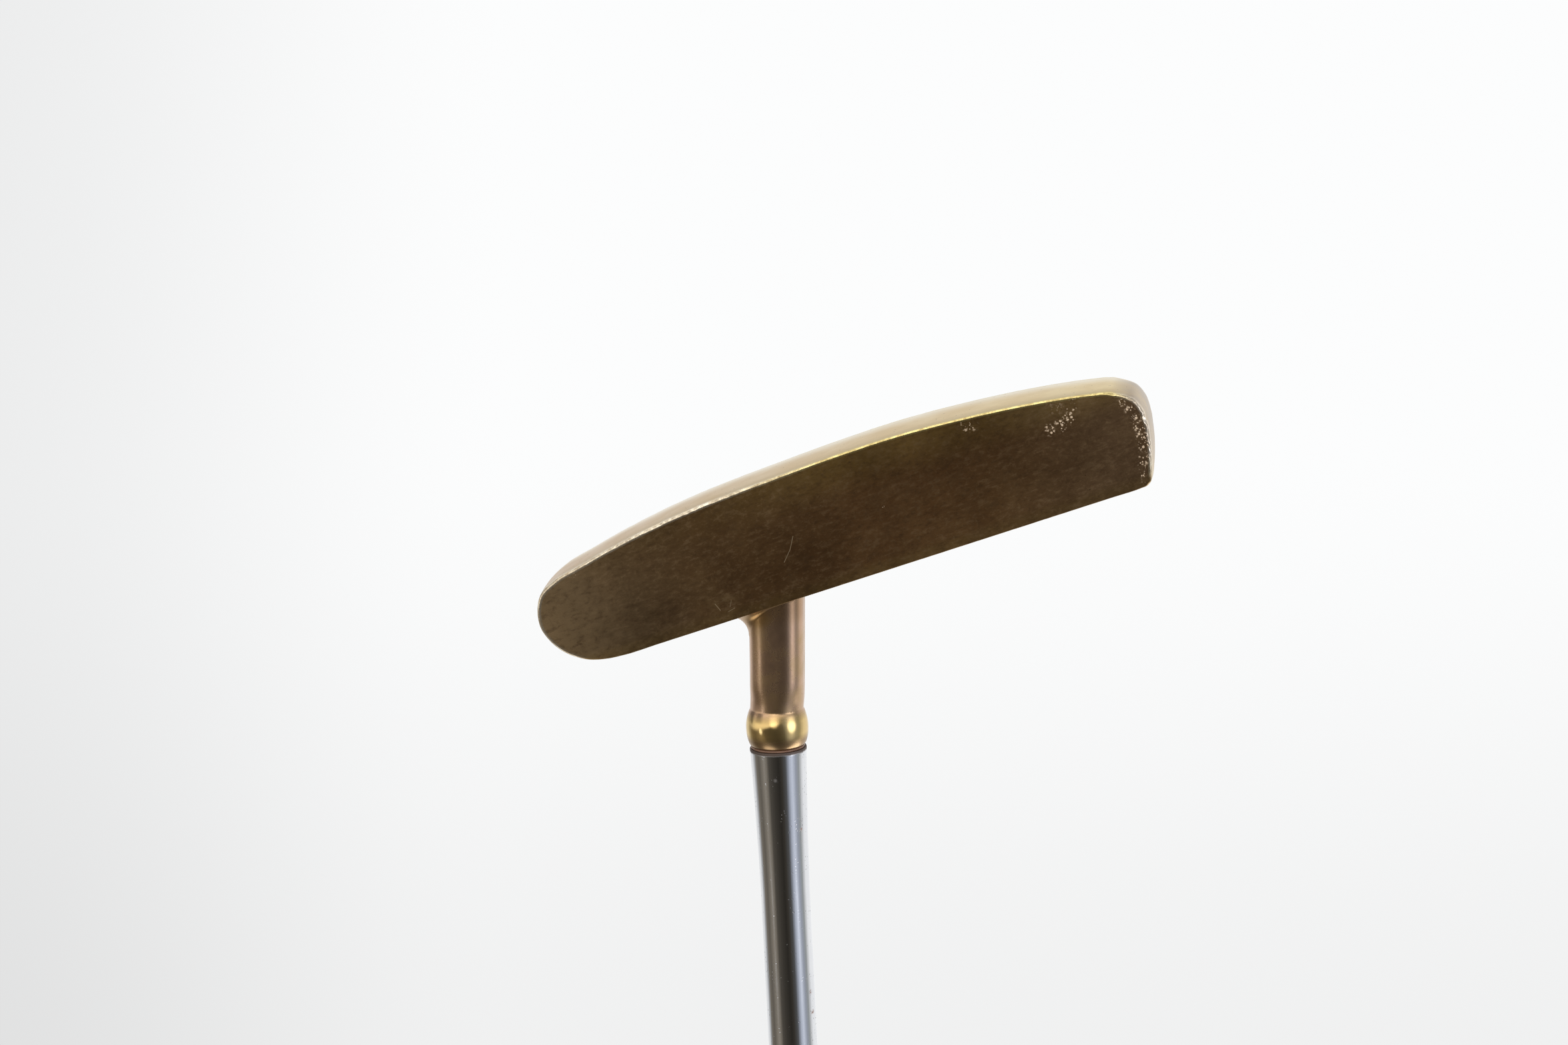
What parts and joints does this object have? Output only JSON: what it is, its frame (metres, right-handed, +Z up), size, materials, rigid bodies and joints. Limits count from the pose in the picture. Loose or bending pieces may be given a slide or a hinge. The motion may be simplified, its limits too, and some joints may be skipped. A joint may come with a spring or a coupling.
{
  "type": "blade putter",
  "caption": "Golf putter with a two-way brass blade, leaning neck with a raised collar, over-hosel stepped chrome shaft and leather-wrapped paddle grip.",
  "frame": {"origin": "middle of the small flat on the sole, on the ground plane, just under the place where the neck leaves the topline", "axes": "+Z up with the putter soled at address; the front striking face looks along -Y; the toe points along -X; the shaft leans towards +X"},
  "size_m": [0.3744, 0.0282, 0.8428],
  "materials": {
    "head_brass": "darkened brushed brass with bright worn edges and a polished collar",
    "adhesive": "hard amber-brown bead",
    "shaft_chrome": "bright plate with fine pitting and rust specks",
    "cloth_tape": "thin cloth tape",
    "underlisting_rubber": "moulded, matte",
    "grip_leather": "dark brown calf, pierced, worn satin",
    "whipping_thread": "waxed thread",
    "collar_rubber": "matte moulded",
    "plug_wood": "turned, unfinished",
    "cap_plastic": "moulded, softly polished",
    "screw_brass": "turned, slotted"
  },
  "bodies": {
    "root": {"blade_head": "head_brass", "tip_adhesive": "adhesive", "shaft_tube": "shaft_chrome", "grip_tape": "cloth_tape", "grip_underlisting": "underlisting_rubber", "leather_wrap": "grip_leather", "grip_whipping": "whipping_thread", "lower_collar": "collar_rubber", "butt_plug": "plug_wood", "grip_cap": "cap_plastic", "cap_screw": "screw_brass"}
  },
  "joints": []
}
